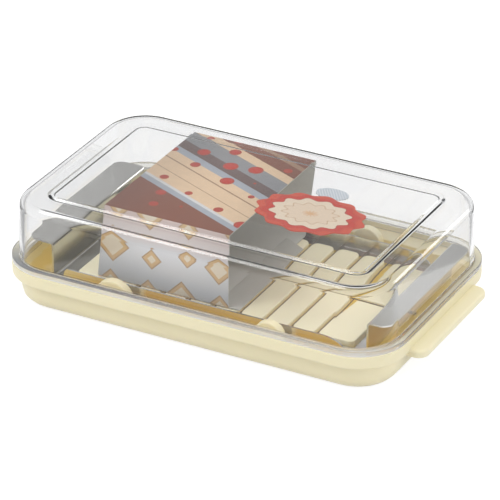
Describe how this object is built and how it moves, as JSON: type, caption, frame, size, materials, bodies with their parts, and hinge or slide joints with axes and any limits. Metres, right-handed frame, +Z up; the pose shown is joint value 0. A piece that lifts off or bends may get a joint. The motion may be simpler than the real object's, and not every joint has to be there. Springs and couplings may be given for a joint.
{
  "type": "butter cutting box",
  "caption": "Lidded butter box: moulded tray with grooved platforms and pull tab, press-down wire cutter folded from sheet steel, clear drafted lid and a loose card sleeve.",
  "frame": {"origin": "under the middle of the whole outline, pull tab included, on the surface that the tray stands on", "axes": "+X along the box towards the pull tab, +Y to the rear long side, +Z up"},
  "size_m": [0.1892, 0.112, 0.048],
  "materials": {
    "cream_moulding": "satin cream moulding",
    "folded_steel": "rolled stainless sheet, fine satin",
    "wire_steel": "drawn stainless wire",
    "clear_moulding": "clear gloss moulding",
    "printed_board": "coated board, printed outside, grey inside"
  },
  "bodies": {
    "tray": {"base_tray": "cream_moulding"},
    "cutter": {"cutter_frame": "folded_steel", "cross_wire_01": "wire_steel", "cross_wire_02": "wire_steel", "cross_wire_03": "wire_steel", "cross_wire_04": "wire_steel", "cross_wire_05": "wire_steel", "cross_wire_06": "wire_steel", "cross_wire_07": "wire_steel", "cross_wire_08": "wire_steel", "cross_wire_09": "wire_steel", "long_wire": "wire_steel", "crimp_front_01": "folded_steel", "crimp_front_02": "folded_steel", "crimp_front_03": "folded_steel", "crimp_front_04": "folded_steel", "crimp_front_05": "folded_steel", "crimp_front_06": "folded_steel", "crimp_front_07": "folded_steel", "crimp_front_08": "folded_steel", "crimp_front_09": "folded_steel", "crimp_rear_01": "folded_steel", "crimp_rear_02": "folded_steel", "crimp_rear_03": "folded_steel", "crimp_rear_04": "folded_steel", "crimp_rear_05": "folded_steel", "crimp_rear_06": "folded_steel", "crimp_rear_07": "folded_steel", "crimp_rear_08": "folded_steel", "crimp_rear_09": "folded_steel", "crimp_left_end": "folded_steel", "crimp_right_end": "folded_steel", "card_sleeve": "printed_board"},
    "lid": {"lid": "clear_moulding"}
  },
  "joints": [
    {"name": "cutter_lift", "type": "slide", "parent": "tray", "child": "cutter", "axis": [0, 0, 1], "range_m": [0, 0.045]},
    {"name": "lid_lift", "type": "slide", "parent": "cutter", "child": "lid", "axis": [0, 0, 1], "range_m": [0, 0.06]}
  ]
}
